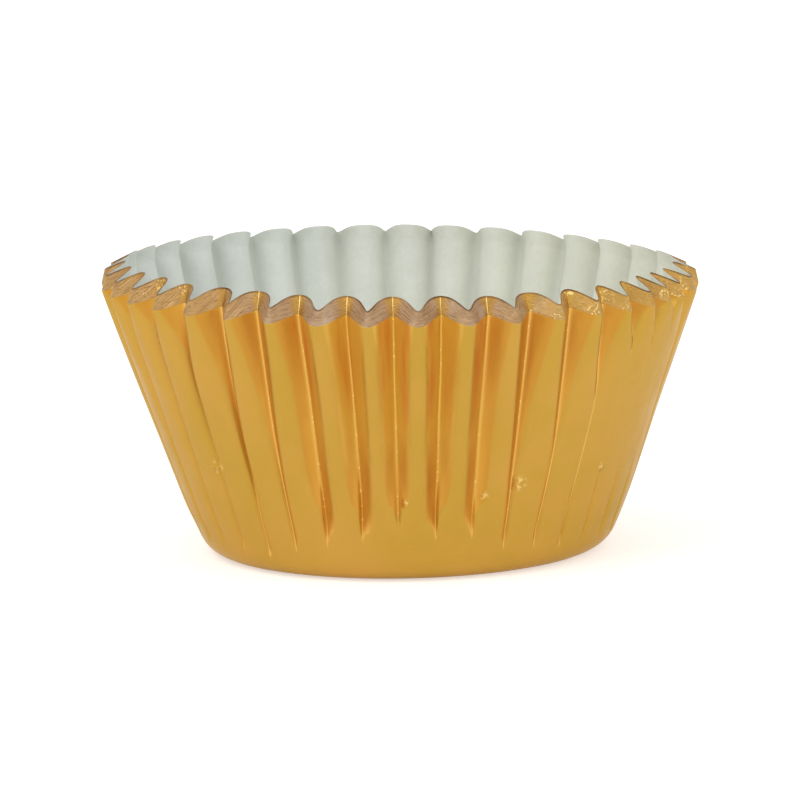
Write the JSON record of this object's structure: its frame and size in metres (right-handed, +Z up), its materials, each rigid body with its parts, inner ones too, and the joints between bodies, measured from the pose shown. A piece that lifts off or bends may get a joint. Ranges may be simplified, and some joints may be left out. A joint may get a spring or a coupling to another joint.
{
  "type": "cupcake liner",
  "caption": "Fluted cup of gold foil backed with white paper, with a flat round base, a flared pleated wall and a narrow pressed lip, that holds batter while a cupcake bakes.",
  "frame": {"origin": "centre of the underside of the flat base, where the cup stands", "axes": "+Z up along the cup's axis, towards its open mouth; -Y is the side seen in the picture"},
  "size_m": [0.0738, 0.0736, 0.0359],
  "materials": {
    "foil": "satin"
  },
  "bodies": {
    "root": {"liner": "foil"}
  },
  "joints": []
}
